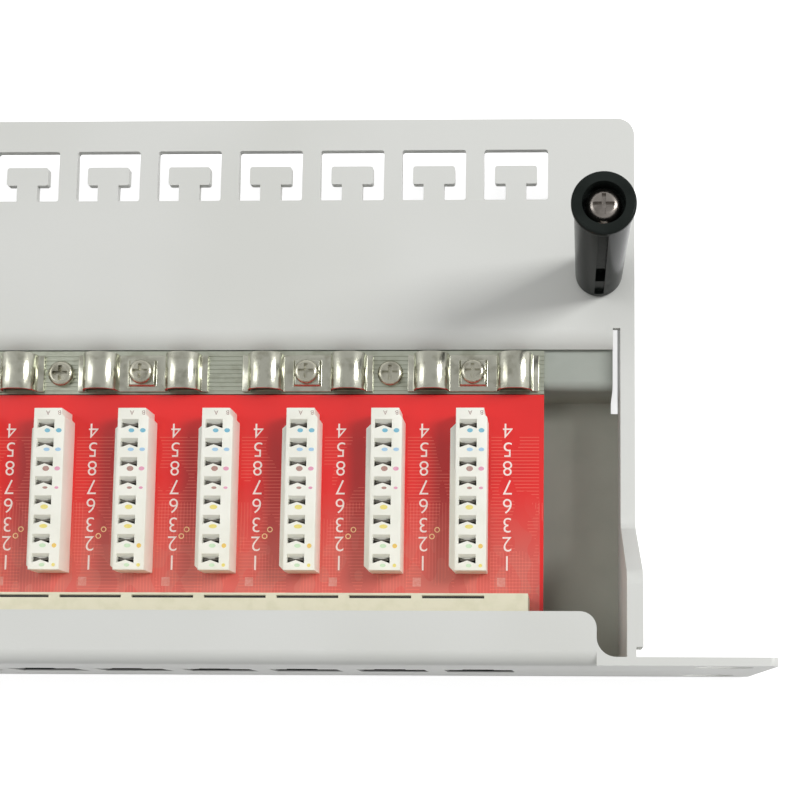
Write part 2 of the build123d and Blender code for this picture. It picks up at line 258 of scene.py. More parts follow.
@dataclass(frozen=True)
class PowderCoat:
    """Light grey powder coat with a fine orange-peel skin."""

    name: str = "powder_coat"
    colour: Colour = paint_colour(219, 220, 216)
    shade: Colour = paint_colour(213, 214, 209)
    grain: float = 0.55 * MM
    cloud: float = 45 * MM

    def make(self) -> bpy.types.Material:
        """Build the material."""
        paint = Paint(self.name)
        skin = paint.noise(self.grain, 3)
        cloud = paint.noise(self.cloud, 2).ramp(0.35, 0.7)
        base = paint.mix(cloud, self.colour, self.shade)
        return paint.finish(
            Base_Color=base,
            Roughness=0.42 + skin * 0.12,
            Normal=paint.bump(skin, 0.02 * MM, 0.6),
        )


@dataclass(frozen=True)
class TrayCoat:
    """Matte grey coat of the folded tray; its deep floor gets a lighter colour than its land, which is
    painted light.
    """

    name: str = "tray_coat"
    land: Colour = paint_colour(164, 169, 161)
    floor: Colour = paint_colour(176, 178, 166)
    low: float = 3 * MM
    high: float = 12 * MM

    def make(self) -> bpy.types.Material:
        """Build the material."""
        paint = Paint(self.name)
        _, _, height = paint.axes()
        skin = paint.noise(0.5 * MM, 3)
        worn = paint.noise(9 * MM, 5).ramp(0.4, 0.75) * 0.12
        # Below the land the colour turns to the lighter floor colour: painted light on the deep floor.
        base = paint.mix(height.ramp(self.low, self.high), self.floor, self.land)
        base = paint.mix(worn, base, paint_colour(104, 107, 97))
        return paint.finish(
            Base_Color=base,
            Roughness=0.5 + skin * 0.15,
            Normal=paint.bump(skin, 0.02 * MM, 0.5),
        )


@dataclass(frozen=True)
class PlainMoulding:
    """Moulded plastic of one colour with a faint skin."""

    name: str
    colour: Colour
    shade: Colour
    roughness: float = 0.4
    grain: float = 0.35 * MM
    gloss: float = 0.5

    def make(self) -> bpy.types.Material:
        """Build the material."""
        paint = Paint(self.name)
        skin = paint.noise(self.grain, 4)
        cloud = paint.noise(6 * MM, 3).ramp(0.35, 0.75)
        return paint.finish(
            Base_Color=paint.mix(cloud, self.colour, self.shade),
            Roughness=self.roughness + skin * 0.1,
            Specular_IOR_Level=self.gloss,
            Normal=paint.bump(skin, 0.012 * MM, 0.5),
        )


@dataclass(frozen=True)
class PlatedMetal:
    """Plated sheet or wire with rolling marks along X and small stains."""

    name: str
    colour: Colour
    stain: Colour
    roughness: float
    stain_share: float = 0.5
    wave: float = 0.03 * MM
    metallic: float = 1.0

    def make(self) -> bpy.types.Material:
        """Build the material."""
        paint = Paint(self.name)
        marks = paint.noise(0.9 * MM, 4, (0.25, 1, 1))
        stains = paint.noise(2.6 * MM, 4).ramp(0.42, 0.72) * self.stain_share
        return paint.finish(
            Base_Color=paint.mix(stains, self.colour, self.stain),
            Metallic=self.metallic,
            Roughness=self.roughness + marks * 0.12,
            Normal=paint.bump(marks, self.wave, 0.5),
        )


@dataclass(frozen=True)
class SolderMask:
    """Red solder mask over fine copper tracks, with a painted reflection of glare on the boards' front ends
    and painted shade on the board beside the blocks.
    """

    name: str = "solder_mask"
    colour: Colour = paint_colour(228, 26, 24)
    deep: Colour = paint_colour(196, 18, 18)
    track: Colour = paint_colour(238, 122, 104)
    port_pitch: float = 16.2 * MM
    # Where the painted glare on the boards' front ends stops, at both outer ends.
    last_track: float = 199.9 * MM
    # Where the painted shade beside the blocks stops.
    last_gap: float = 186.3 * MM
    # Salmon painted glare: a painted reflection on the boards' front ends.
    pour: Colour = paint_colour(206, 112, 100)
    # Dark red painted shade for the board beside the blocks.
    dusk: Colour = paint_colour(150, 26, 22)
    cross_tracks: tuple[float, float] = (-40 * MM, -9 * MM)
    long_tracks: tuple[float, float] = (-48 * MM, -22 * MM)

    def make(self) -> bpy.types.Material:
        """Build the material."""
        paint = Paint(self.name)
        x, y, _ = paint.axes()
        local = (x + self.port_pitch / 2) % self.port_pitch
        across = self._lines(y, 0.66 * MM, 0.16 * MM) * y.between(*self.cross_tracks)
        across = across * local.between(4.1 * MM, 13.4 * MM) * (paint.noise(6 * MM, 1, (1, 0.5, 1)) > 0.44)
        along = self._lines(x, 0.62 * MM, 0.15 * MM) * y.between(*self.long_tracks)
        along = along * (paint.noise(7 * MM, 0, (1, 0.4, 1)) > 0.46)
        tracks = across * 0.46 + along * 0.34
        cloud = paint.noise(14 * MM, 2).ramp(0.3, 0.75)
        # Patchy strength and mask of the painted glare on the boards' front ends.
        glare_patches = (paint.noise(3 * MM, 0, (1, 0.6, 1)) > 0.52) * 0.2 - 0.1
        front = y.ramp(-16 * MM, -40 * MM) * (x < self.last_track) * (x > -self.last_track)
        # Mask of the painted shade beside each block, darker towards the front.
        shade_beside_blocks = local.ramp(6.5 * MM, 10.5 * MM) * (x < self.last_gap) * y.ramp(-3 * MM, -12 * MM)
        base = paint.mix(cloud * 0.35, self.colour, self.deep)
        base = paint.mix(shade_beside_blocks * 0.6, base, self.dusk)
        base = paint.mix(front * (0.8 + glare_patches), base, self.pour)
        base = paint.mix(tracks, base, self.track)
        ripple = paint.noise(1.6 * MM, 3)
        return paint.finish(
            Base_Color=base,
            Roughness=0.3 + ripple * 0.12,
            Coat_Weight=0.3,
            Coat_Roughness=0.25,
            Normal=paint.bump(tracks + ripple * 0.3, 0.03 * MM, 0.6),
        )

    @staticmethod
    def _lines(value: Signal, pitch: float, width: float) -> Signal:
        """Give evenly spaced lines.

        Args:
            value: The coordinate that the lines stand across.
            pitch: Their distance.
            width: Their width.

        Returns:
            1 on a line and 0 beside it.
        """
        return (value % pitch) < width


@dataclass(frozen=True)
class Ink:
    """A printed colour."""

    name: str
    colour: Colour

    def make(self) -> bpy.types.Material:
        """Build the material."""
        paint = Paint(self.name)
        fade = paint.noise(0.4 * MM, 3).ramp(0.3, 0.8)
        pale = tuple(0.75 * part + 0.25 for part in self.colour[:3]) + (1.0,)
        return paint.finish(Base_Color=paint.mix(fade * 0.5, self.colour, pale), Roughness=0.55)


class Slot(Enum):
    """The record's material slots."""

    SHEET = "painted_sheet"
    TRAY = "tray_sheet"
    BOARD = "board_red"
    SHIELD = "shield_cream"
    INSERT = "insert_black"
    SPACER = "spacer_plastic"
    GOLD = "contact_gold"
    BLOCK = "block_white"
    BLADE = "blade_tin"
    RAIL = "rail_tin"
    CLAMP = "clamp_nickel"
    SCREW = "screw_nickel"
    POST = "post_black"
    POST_SCREW = "screw_steel"


FINISHES = {
    Slot.SHEET: PowderCoat(),
    Slot.TRAY: TrayCoat(),
    Slot.BOARD: SolderMask(),
    Slot.SHIELD: PlatedMetal(
        "shield_plate", paint_colour(230, 226, 202), paint_colour(212, 210, 180), 0.45, 0.4, metallic=0.25
    ),
    Slot.INSERT: PlainMoulding("insert_moulding", paint_colour(46, 46, 46), paint_colour(38, 38, 38)),
    Slot.SPACER: PlainMoulding("spacer_moulding", paint_colour(226, 226, 220), paint_colour(216, 216, 208)),
    Slot.GOLD: PlatedMetal("gold_plate", paint_colour(232, 190, 110), paint_colour(214, 168, 90), 0.2, 0.3),
    Slot.BLOCK: PlainMoulding(
        "block_moulding", paint_colour(246, 246, 236), paint_colour(240, 240, 228), 0.42
    ),
    # The blades' tin is given a dark colour: painted shade of the deep slots that the blades stand in.
    Slot.BLADE: PlatedMetal("blade_plate", paint_colour(112, 108, 100), paint_colour(58, 54, 48), 0.4),
    Slot.RAIL: PlatedMetal("rail_plate", paint_colour(186, 190, 174), paint_colour(142, 142, 122), 0.26),
    Slot.CLAMP: PlatedMetal(
        "clamp_plate", paint_colour(190, 190, 176), paint_colour(124, 122, 102), 0.16, 0.5
    ),
    Slot.SCREW: PlatedMetal("screw_plate", paint_colour(190, 188, 172), paint_colour(96, 92, 76), 0.2, 0.6),
    Slot.POST: PlainMoulding(
        "post_moulding", paint_colour(38, 42, 40), paint_colour(31, 35, 33), 0.14, gloss=0.03
    ),
    Slot.POST_SCREW: PlatedMetal(
        "post_screw_plate", paint_colour(150, 144, 138), paint_colour(70, 64, 58), 0.22, 0.6
    ),
}


class Workbench:
    """The frame and its finishes, and the steps that dress the pieces and let them ride on the panel."""

    def __init__(self, frame: Mapping[str, object]) -> None:
        """Take the loaded frame and make every finish once."""
        self.frame = frame
        self.materials = {slot: finish.make() for slot, finish in FINISHES.items()}
        self.node_slots = {row["node"]: Slot(row["material_slot"]) for row in frame["record"]["subparts"]}

    def dress_nodes(self) -> None:
        """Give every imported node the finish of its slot."""
        for node, slot in self.node_slots.items():
            for part in self.node_objects(node):
                self.put_on(part, self.materials[slot])
        LOG.info("dressed %d packed nodes", len(self.node_slots))

    def node_objects(self, node: str) -> list[bpy.types.Object]:
        """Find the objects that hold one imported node."""
        found = self.frame["nodes"][node]
        return list(found) if isinstance(found, (list, tuple)) else [found]

    @staticmethod
    def put_on(part: bpy.types.Object, material: bpy.types.Material) -> None:
        """Make a material the only one of an object."""
        part.data.materials.clear()
        part.data.materials.append(material)

    def adopt(
        self, piece: bpy.types.Object, name: str, slot: Slot, material: bpy.types.Material | None = None
    ) -> None:
        """Name a new piece, dress it and let it ride on the panel.

        Args:
            piece: The new piece.
            name: Its name.
            slot: The record's slot that it takes its finish from.
            material: A material of its own, where it has one.
        """
        piece.name = name
        piece.data.name = name
        self.put_on(piece, material or self.materials[slot])
        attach(piece, "root")
        LOG.info("made %s", name)


class Modeller:
    """The modelling steps that the pieces share, each done with Blender's own operators."""

    @staticmethod
    def box(low: Sequence[float], high: Sequence[float]) -> bpy.types.Object:
        """Add a box between two corners, with its place in its mesh."""
        bpy.ops.object.select_all(action="DESELECT")
        centre = [(a + b) / 2 for a, b in zip(low, high)]
        span = [b - a for a, b in zip(low, high)]
        bpy.ops.mesh.primitive_cube_add(size=1, location=centre, scale=span)
        bpy.ops.object.transform_apply(location=True, rotation=True, scale=True)
        return bpy.context.object

    @staticmethod
    def activate(piece: bpy.types.Object) -> None:
        """Make a piece the only selected and the active one."""
        bpy.ops.object.select_all(action="DESELECT")
        piece.select_set(True)
        bpy.context.view_layer.objects.active = piece

    @staticmethod
    def pick(piece: bpy.types.Object, kind: str, test: Callable[[Vector, Vector], bool]) -> None:
        """Go into edit mode and select what lies where a test says.

        Args:
            piece: The piece to select in.
            kind: "verts", "edges" or "faces".
            test: Takes a centre and a normal, or an edge's direction, and says whether to select.
        """
        Modeller.activate(piece)
        bpy.ops.object.mode_set(mode="EDIT")
        modes = {"verts": "VERT", "edges": "EDGE", "faces": "FACE"}
        bpy.ops.mesh.select_mode(type=modes[kind])
        bpy.ops.mesh.select_all(action="DESELECT")
        bpy.ops.object.mode_set(mode="OBJECT")
        mesh = piece.data
        if kind == "faces":
            for face in mesh.polygons:
                face.select = test(face.center, face.normal)
        elif kind == "edges":
            for edge in mesh.edges:
                first, second = (mesh.vertices[i] for i in edge.vertices)
                edge.select = test((first.co + second.co) / 2, (second.co - first.co).normalized())
        else:
            for vertex in mesh.vertices:
                vertex.select = test(vertex.co, vertex.normal)
        bpy.ops.object.mode_set(mode="EDIT")

    @staticmethod
    def leave() -> None:
        """Go back to object mode."""
        bpy.ops.object.mode_set(mode="OBJECT")

    @staticmethod
    def apply(piece: bpy.types.Object, kind: str, **settings: object) -> None:
        """Add a modifier and apply it.

        Args:
            piece: The piece that gets it.
            kind: The modifier's type.
            settings: The modifier's settings by name.
        """
        Modeller.activate(piece)
        modifier = piece.modifiers.new(kind.lower(), kind)
        for name, value in settings.items():
            setattr(modifier, name, value)
        bpy.ops.object.modifier_apply(modifier=modifier.name)

    @staticmethod
    def cut(piece: bpy.types.Object, cutter: bpy.types.Object, operation: str = "DIFFERENCE") -> None:
        """Cut a piece with another one, or join them into one skin, and drop the other one."""
        Modeller.apply(piece, "BOOLEAN", operation=operation, object=cutter, solver="EXACT")
        bpy.data.objects.remove(cutter, do_unlink=True)

    @staticmethod
    def soften(piece: bpy.types.Object, width: float, segments: int = 2, limit: float = 35.0) -> None:
        """Round a piece's edges and shade it smooth between them."""
        Modeller.apply(
            piece, "BEVEL", width=width, segments=segments, limit_method="ANGLE",
            angle_limit=math.radians(limit), use_clamp_overlap=True, harden_normals=False,
        )
        Modeller.smooth(piece)

    @staticmethod
    def smooth(piece: bpy.types.Object, angle: float = 35.0) -> None:
        """Shade smooth across flat angles."""
        Modeller.activate(piece)
        bpy.ops.object.shade_smooth_by_angle(angle=math.radians(angle))

    @staticmethod
    def copy(piece: bpy.types.Object, step: Vector) -> bpy.types.Object:
        """Copy a piece with its own mesh and move the mesh."""
        made = bpy.data.objects.new(piece.name, piece.data.copy())
        bpy.context.scene.collection.objects.link(made)
        made.data.transform(Matrix.Translation(step))
        return made

    @staticmethod
    def join(pieces: Sequence[bpy.types.Object]) -> bpy.types.Object:
        """Join pieces into the first one."""
        bpy.ops.object.select_all(action="DESELECT")
        for piece in pieces:
            piece.select_set(True)
        bpy.context.view_layer.objects.active = pieces[0]
        if len(pieces) > 1:
            bpy.ops.object.join()
        return pieces[0]

    @staticmethod
    def lettering(
        text: str, height: float, place: Sequence[float], relief: float, turn: float
    ) -> bpy.types.Object:
        """Make a raised character.

        Args:
            text: The character.
            height: Its height.
            place: Where its middle stands.
            relief: How far it stands up.
            turn: Its turn about Z in degrees.

        Returns:
            The character as a mesh.
        """
        bpy.ops.object.select_all(action="DESELECT")
        bpy.ops.object.text_add()
        made = bpy.context.object
        made.data.body = text
        made.data.size = height / 0.7
        made.data.extrude = relief
        made.data.resolution_u = 4
        made.data.offset = -0.012 * height
        made.data.align_x = "CENTER"
        bpy.ops.object.convert(target="MESH")
        made = bpy.context.object
        middle = sum((Vector(corner) for corner in made.bound_box), Vector()) / 8
        made.data.transform(Matrix.Translation(-middle))
        made.data.transform(Matrix.Rotation(math.radians(turn), 4, "Z"))
        made.data.transform(Matrix.Translation(place))
        return made


@dataclass(frozen=True)
class PortRow:
    """Where the ports stand and how high the boards are."""

    count: int = 24
    per_board: int = 8
    pitch: float = 16.2 * MM
    board_top: float = 15.0 * MM
    front_face: float = -54.75 * MM
    first_slot: float = 20.96 * MM
    slot_step: float = 3.7 * MM
    slots: int = 8

    def centres(self) -> list[float]:
        """Give the X of every port."""
        return [(index - (self.count - 1) / 2) * self.pitch for index in range(self.count)]

    def slot_lines(self) -> list[float]:
        """Give the Y of a block's eight slots, from the front to the rear."""
        first = self.front_face + self.first_slot
        return [first + index * self.slot_step for index in range(self.slots)]


@dataclass
class PunchBlocks:
    """The white punch-down blocks with their slots and lead-ins; their colour marks and letters are printed
    by Printing.
    """

    row: PortRow
    width: float = 7.2 * MM
    length: float = 31.2 * MM
    height: float = 6.0 * MM
    front: float = 18.9 * MM
    ledge: float = 1.25 * MM
    ledge_height: float = 3.4 * MM
    head: float = 2.4 * MM
    shoulder: float = 0.6 * MM
    corner: float = 1.1 * MM
    slot_half: float = 1.65 * MM
    slot_offset: float = 0.03 * MM
    slot_front: float = 0.75 * MM
    slot_rear: float = 0.5 * MM
    slot_depth: float = 4.6 * MM
    waist_reach: float = 0.3 * MM
    waist_share: float = 0.22
    chute: float = 1.9 * MM
    chute_depth: float = 0.9 * MM
    chute_slope: float = 0.85
    margin: float = 1 * MM
    edge: float = 0.12 * MM

    def build(self, bench: Workbench) -> None:
        """Model one block and copy it to every port."""
        pattern = self._body()
        Modeller.soften(pattern, self.edge, 2, 30)
        Modeller.cut(pattern, self._chutes())
        Modeller.cut(pattern, self._slots())
        Modeller.smooth(pattern)
        for index, x in enumerate(self.row.centres()):
            block = Modeller.copy(pattern, Vector((x, 0, 0)))
            bench.adopt(block, f"punch_block_{index + 1:02d}", Slot.BLOCK)
            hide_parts(f"idc_block_{index + 1:02d}")
        bpy.data.objects.remove(pattern, do_unlink=True)

    def _body(self) -> bpy.types.Object:
        """Model the block's outside at X = 0: a tall body, a low ledge and a narrow head."""
        low = self.row.board_top
        front = self.row.front_face + self.front
        rear = front + self.length
        left, right = -self.width / 2, self.width / 2
        body = Modeller.box((left + self.ledge, front, low), (right, rear, low + self.height))
        Modeller.activate(body)
        bpy.ops.object.mode_set(mode="EDIT")
        bpy.ops.mesh.select_all(action="SELECT")
        bpy.ops.mesh.bisect(plane_co=(0, rear - self.head / 2, 0), plane_no=(0, 1, 0))
        bpy.ops.mesh.select_all(action="SELECT")
        bpy.ops.mesh.bisect(plane_co=(0, rear - self.head / 2 - self.shoulder, 0), plane_no=(0, 1, 0))
        Modeller.leave()
        shoulder_y = rear - self.head / 2 - self.shoulder / 2
        Modeller.pick(body, "verts", lambda place, _: place.y > shoulder_y and place.x > 0)
        bpy.ops.transform.translate(value=(-self.shoulder, 0, 0))
        Modeller.leave()
        ledge = Modeller.box(
            (left, front, low), (left + self.ledge + self.edge, rear - self.head, low + self.ledge_height)
        )
        Modeller.pick(ledge, "edges", lambda place, way: abs(way.z) > 0.9 and place.x < left + self.edge)
        bpy.ops.mesh.bevel(offset=self.corner, segments=1, affect="EDGES")
        Modeller.leave()
        Modeller.cut(body, ledge, "UNION")
        return body

    def _chutes(self) -> bpy.types.Object:
        """Model the sloped lead-ins behind the slots."""
        top = self.row.board_top + self.height
        cutters = []
        for y in self.row.slot_lines():
            cutter = Modeller.box(
                (-self.slot_half, y, top - self.chute_depth),
                (self.slot_half, y + self.chute, top + self.margin),
            )
            Modeller.pick(cutter, "verts", lambda place, _: place.z < top and place.y > y + self.chute / 2)
            bpy.ops.transform.translate(value=(0, -self.chute * self.chute_slope, 0))
            Modeller.leave()
            cutters.append(cutter)
        return Modeller.join(cutters)

    def _slots(self) -> bpy.types.Object:
        """Model the deep bow-tie slots."""
        top = self.row.board_top + self.height
        cutters = []
        for y in self.row.slot_lines():
            cutter = Modeller.box(
                (-self.slot_half, y - self.slot_front, top - self.slot_depth),
                (self.slot_half, y + self.slot_rear, top + self.margin),
            )
            bpy.ops.object.mode_set(mode="EDIT")
            bpy.ops.mesh.select_all(action="SELECT")
            bpy.ops.mesh.bisect(plane_co=(self.slot_offset, 0, 0), plane_no=(1, 0, 0))
            Modeller.leave()
            Modeller.pick(
                cutter, "verts", lambda place, _: abs(place.x - self.slot_offset) < self.waist_reach
            )
            bpy.ops.transform.resize(value=(1, self.waist_share, 1), center_override=(0, y, top))
            Modeller.leave()
            cutters.append(cutter)
        return Modeller.join(cutters)


@dataclass(frozen=True)
class Mark:
    """One printed colour mark: its row from the rear, its column, its ink and its size."""

    row: int
    column: str
    ink: str
    width: float
    length: float


@dataclass
class SheetWork:
    """The painted sheets with the soft edges that the powder coat leaves."""

    chassis_edge: float = 0.3 * MM
    tray_edge: float = 0.25 * MM
    merge: float = 0.002 * MM
    flat_angle: float = 0.5
    sharp_angle: float = 60.0
    smooth_angle: float = 40.0

    def build(self, bench: Workbench) -> None:
        """Round the edges of both folded sheets."""
        self._soft_copy(bench, "chassis", "folded_sheet", Slot.SHEET, self.chassis_edge)
        self._soft_copy(bench, "base_tray", "folded_tray", Slot.TRAY, self.tray_edge)

    def _soft_copy(self, bench: Workbench, node: str, name: str, slot: Slot, edge: float) -> None:
        """Copy a packed sheet, merge its triangles into faces and round its edges.

        Args:
            bench: The workbench.
            node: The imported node.
            name: The new piece's name.
            slot: The record's slot.
            edge: The width of the rounding.
        """
        sheet = Modeller.join([Modeller.copy(part, Vector()) for part in bench.node_objects(node)])
        Modeller.activate(sheet)
        bpy.ops.object.mode_set(mode="EDIT")
        bpy.ops.mesh.select_mode(type="VERT")
        bpy.ops.mesh.select_all(action="SELECT")
        bpy.ops.mesh.remove_doubles(threshold=self.merge)
        bpy.ops.mesh.dissolve_limited(angle_limit=math.radians(self.flat_angle))
        Modeller.leave()
        Modeller.apply(
            sheet, "BEVEL", width=edge, segments=2, limit_method="ANGLE",
            angle_limit=math.radians(self.sharp_angle), use_clamp_overlap=True, miter_outer="MITER_SHARP",
        )
        Modeller.smooth(sheet, self.smooth_angle)
        Modeller.apply(sheet, "WEIGHTED_NORMAL", keep_sharp=True)
        bench.adopt(sheet, name, slot)
        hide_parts(node)


@dataclass
class ShieldClamps:
    """The double saddles, bent from plated strip, with a raised pad under the screw."""

    pitch: float = 16.2 * MM
    saddle_offset: float = 8.6 * MM
    foot: float = 14.67 * MM
    saddle_width: float = 7.0 * MM
    saddle_height: float = 4.0 * MM
    saddle_radius: float = 2.9 * MM
    strip: float = 0.6 * MM
    flat: float = 1.2 * MM
    front: float = -0.15 * MM
    length: float = 7.3 * MM
    pad: float = 5.6 * MM
    pad_height: float = 0.8 * MM
    pad_taper: float = 0.86
    hole: float = 1.3 * MM
    edge: float = 0.14 * MM
    arch_steps: int = 8
    count: int = 12

    def build(self, bench: Workbench) -> None:
        """Model one double saddle and copy it along the rail."""
        pattern = self._strip()
        Modeller.cut(pattern, self._pad(), "UNION")
        Modeller.cut(pattern, self._hole())
        Modeller.soften(pattern, self.edge, 2, 40)
        first = -(2 * self.count - 1) / 2 * self.pitch + self.saddle_offset + self.pitch / 2
        for index in range(self.count):
            clamp = Modeller.copy(pattern, Vector((first + 2 * index * self.pitch, 0, 0)))
            bench.adopt(clamp, f"double_saddle_{index + 1:02d}", Slot.CLAMP)
            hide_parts(f"shield_clamp_{index + 1:02d}")
        bpy.data.objects.remove(pattern, do_unlink=True)

    def _strip(self) -> bpy.types.Object:
        """Bend the strip: a run of short flats and round arches, thickened downwards."""
        reach = (self.pitch + self.saddle_width) / 2 + self.flat
        middle = self.front + self.length / 2
        bpy.ops.object.select_all(action="DESELECT")
        bpy.ops.mesh.primitive_plane_add(size=1, location=(-reach, middle, self.foot + self.strip))
        strip = bpy.context.object
        bpy.ops.object.transform_apply(location=True)
        Modeller.pick(strip, "verts", lambda place, _: True)
        bpy.ops.transform.resize(value=(0, self.length, 1), center_override=(-reach, middle, 0))
        bpy.ops.mesh.remove_doubles(threshold=0.001 * MM)
        last = (-reach, self.foot + self.strip)
        for point in self._line(reach):
            bpy.ops.mesh.extrude_region_move(
                TRANSFORM_OT_translate={"value": (point[0] - last[0], 0, point[1] - last[1])}
            )
            last = point
        Modeller.leave()
        side = self._inner_side(strip)
        Modeller.apply(strip, "SOLIDIFY", thickness=self.strip, offset=side, use_even_offset=True)
        return strip

    @staticmethod
    def _inner_side(strip: bpy.types.Object) -> float:
        """Say on which side of the strip's faces its thickness goes, so that it goes down."""
        strip.data.update()
        flats = [face for face in strip.data.polygons if abs(face.normal.z) > 0.9]
        return -1.0 if sum(face.normal.z for face in flats) > 0 else 1.0

    def _line(self, reach: float) -> list[tuple[float, float]]:
        """Give the outer line of the strip from the left flat to the right one, as X and Z."""
        low = self.foot + self.strip
        high = self.foot + self.saddle_height
        radius = self.saddle_radius
        points = []
        for centre in (-self.pitch / 2, self.pitch / 2):
            left, right = centre - self.saddle_width / 2, centre + self.saddle_width / 2
            points.append((left, low))
            for middle, start in ((left + radius, 180), (right - radius, 90)):
                for step in range(self.arch_steps + 1):
                    turn = math.radians(start - 90 * step / self.arch_steps)
                    up = high - radius + radius * math.sin(turn)
                    points.append((middle + radius * math.cos(turn), up))
            points.append((right, low))
        points.append((reach, low))
        return points

    def _pad(self) -> bpy.types.Object:
        """Model the raised pad with its sloped sides."""
        half = self.pad / 2
        middle = self.front + self.length / 2
        low = self.foot + self.strip / 2
        high = self.foot + self.strip + self.pad_height
        pad = Modeller.box((-half, middle - half, low), (half, middle + half, high))
        Modeller.pick(pad, "faces", lambda _, normal: normal.z > 0.9)
        share = (self.pad_taper, self.pad_taper, 1)
        bpy.ops.transform.resize(value=share, center_override=(0, middle, 0))
        Modeller.leave()
        return pad

    def _hole(self) -> bpy.types.Object:
        """Model the screw's hole."""
        middle = self.front + self.length / 2
        bpy.ops.object.select_all(action="DESELECT")
        bpy.ops.mesh.primitive_cylinder_add(
            vertices=20, radius=self.hole, depth=self.saddle_height,
            location=(0, middle, self.foot + self.strip),
        )
        bpy.ops.object.transform_apply(location=True)
        return bpy.context.object


@dataclass
class Vias:
    """The plated holes and the bare pads of the boards."""

    row: PortRow
    ring: float = 0.55 * MM
    hole: float = 0.28 * MM
    relief: float = 0.03 * MM
    holes = ((-6.2 * MM, -27.3 * MM), (-7.2 * MM, -28.6 * MM))
    pads = ((5.4 * MM, -38.3 * MM, 1.6 * MM, 1.7 * MM),)

    def build(self, bench: Workbench) -> None:
        """Model a port's holes and pads and copy them along each board."""
        rings = Modeller.join([self._ring(x, y) for x, y in self.holes])
        low, high = self.row.board_top, self.row.board_top + self.relief
        pads = Modeller.join([
            Modeller.box((x, y, low), (x + width, y + length, high)) for x, y, width, length in self.pads
        ])
        pad_paint = Ink("bare_pad", paint_colour(214, 132, 120)).make()
        ring_paint = PlatedMetal(
            "via_plate", paint_colour(250, 214, 160), paint_colour(226, 176, 120), 0.4, metallic=0.3
        ).make()
        centres = self.row.centres()
        for board in range(self.row.count // self.row.per_board):
            some = centres[board * self.row.per_board:(board + 1) * self.row.per_board]
            for pattern, name, paint in ((rings, "vias", ring_paint), (pads, "pads", pad_paint)):
                piece = Modeller.join([Modeller.copy(pattern, Vector((x, 0, 0))) for x in some])
                bench.adopt(piece, f"{name}_{board + 1}", Slot.BLADE, paint)
        for pattern in (rings, pads):
            bpy.data.objects.remove(pattern, do_unlink=True)

    def _ring(self, x: float, y: float) -> bpy.types.Object:
        """Model one flat ring with a sunk middle."""
        bpy.ops.object.select_all(action="DESELECT")
        bpy.ops.mesh.primitive_cylinder_add(
            vertices=14, radius=self.ring, depth=2 * self.relief, location=(x, y, self.row.board_top)
        )
        bpy.ops.object.transform_apply(location=True)
        ring = bpy.context.object
        Modeller.pick(ring, "faces", lambda _, normal: normal.z > 0.9)
        bpy.ops.mesh.inset(thickness=self.ring - self.hole)
        bpy.ops.transform.translate(value=(0, 0, -1.5 * self.relief))
        Modeller.leave()
        return ring


